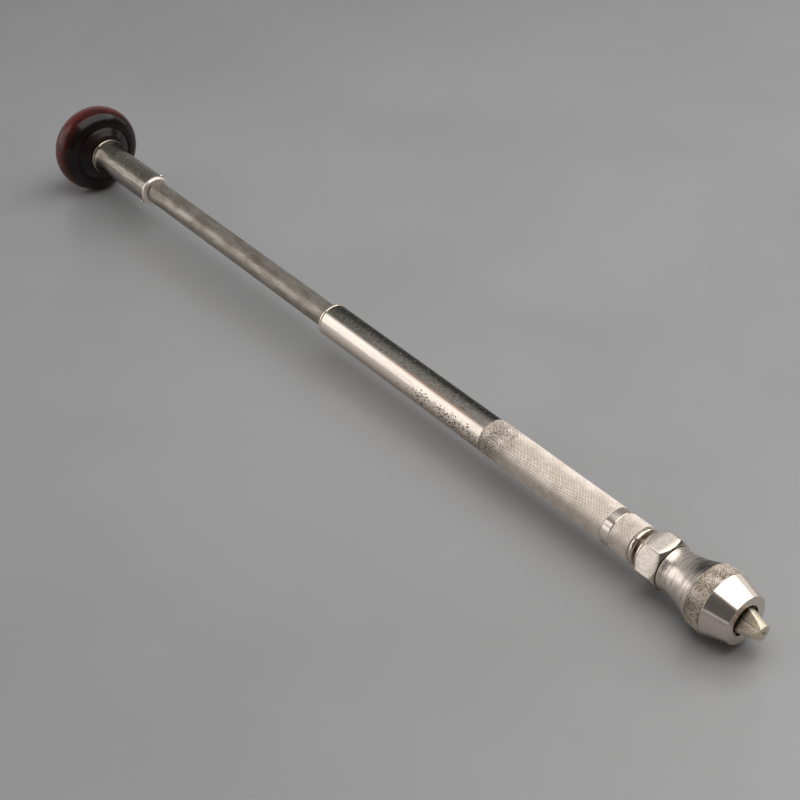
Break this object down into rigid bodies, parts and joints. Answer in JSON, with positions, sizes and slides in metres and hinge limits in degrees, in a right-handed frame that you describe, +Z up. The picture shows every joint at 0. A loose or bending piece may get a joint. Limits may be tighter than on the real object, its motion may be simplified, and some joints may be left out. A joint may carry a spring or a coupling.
{
  "type": "push drill",
  "caption": "Long hand push drill: palm knob on a thin tube that slides into a knurled barrel and turns a two-jaw chuck.",
  "frame": {"origin": "centre of the bounding box on the surface that the tool lies on, resting on its knob and the chuck's knurled band", "axes": "+X from the knob to the chuck, with the tool's axis 1.22 degrees nose down from it; +Z up"},
  "size_m": [0.6112, 0.0576, 0.0576],
  "materials": {
    "nickel_plate": "polished nickel plate",
    "knurled_nickel": "fine diamond knurl in nickel plate",
    "bare_steel": "satin bare steel",
    "bearing_bronze": "turned bronze",
    "rosewood": "polished dark rosewood"
  },
  "bodies": {
    "grip": {"barrel_tube": "nickel_plate", "knurled_grip": "knurled_nickel", "barrel_end_cap": "nickel_plate", "polished_band": "nickel_plate", "bearing_cap": "knurled_nickel", "cap_lock_ring": "nickel_plate", "front_bush": "bearing_bronze", "thrust_washer_front": "bearing_bronze", "thrust_washer_rear": "bearing_bronze", "thrust_plug": "nickel_plate"},
    "spindle": {"chuck_body": "nickel_plate", "spindle_shaft": "bare_steel", "spiral_bar": "bare_steel", "bar_pin": "bare_steel", "jaw_spring": "bare_steel"},
    "push": {"push_tube": "bare_steel", "piston_bush": "bearing_bronze", "guide_key": "bare_steel", "nut_retainer": "bare_steel", "drive_nut": "bearing_bronze", "clutch_ring": "bare_steel", "clutch_spring": "bare_steel", "head_collar": "nickel_plate", "head_stem": "bare_steel", "cross_pin": "bare_steel", "stem_nut": "bare_steel"},
    "head": {"ferrule": "nickel_plate", "swivel_bush": "bearing_bronze", "head_washer": "bearing_bronze", "knob": "rosewood"},
    "closing_ring": {"jaw_closing_ring": "bare_steel"},
    "shell": {"chuck_shell": "nickel_plate"},
    "jaw_a": {"jaw_a": "bare_steel"},
    "jaw_b": {"jaw_b": "bare_steel"}
  },
  "joints": [
    {"name": "push_stroke", "type": "slide", "parent": "grip", "child": "push", "axis": [0.9998, 0, -0.0213], "range_m": [0, 0.18]},
    {"name": "spindle_spin", "type": "hinge", "parent": "grip", "child": "spindle", "pos_m": [0.22126, 0, 0.01794], "axis": [0.9998, 0, -0.0213], "range_deg": [0, 1441]},
    {"name": "head_swivel", "type": "hinge", "parent": "push", "child": "head", "pos_m": [-0.23963, 0, 0.02777], "axis": [0.9998, 0, -0.0213], "continuous": true},
    {"name": "ring_advance", "type": "slide", "parent": "spindle", "child": "closing_ring", "axis": [0.9998, 0, -0.0213], "range_m": [0, 0.0064]},
    {"name": "shell_turn", "type": "hinge", "parent": "closing_ring", "child": "shell", "pos_m": [0.26525, 0, 0.017], "axis": [0.9998, 0, -0.0213], "range_deg": [0, 1441]},
    {"name": "jaw_a_slide", "type": "slide", "parent": "spindle", "child": "jaw_a", "axis": [0.0156, 0.682, 0.7312], "range_m": [0, 0.0018]},
    {"name": "jaw_b_slide", "type": "slide", "parent": "spindle", "child": "jaw_b", "axis": [-0.0156, -0.682, -0.7312], "range_m": [0, 0.0018]}
  ],
  "couplings": [
    {"joint": "spindle_spin", "follows": "push_stroke", "rad_per_m": 139.63},
    {"joint": "shell_turn", "follows": "ring_advance", "rad_per_m": 3927},
    {"joint": "jaw_a_slide", "follows": "ring_advance", "ratio": 0.28},
    {"joint": "jaw_b_slide", "follows": "ring_advance", "ratio": 0.28}
  ]
}
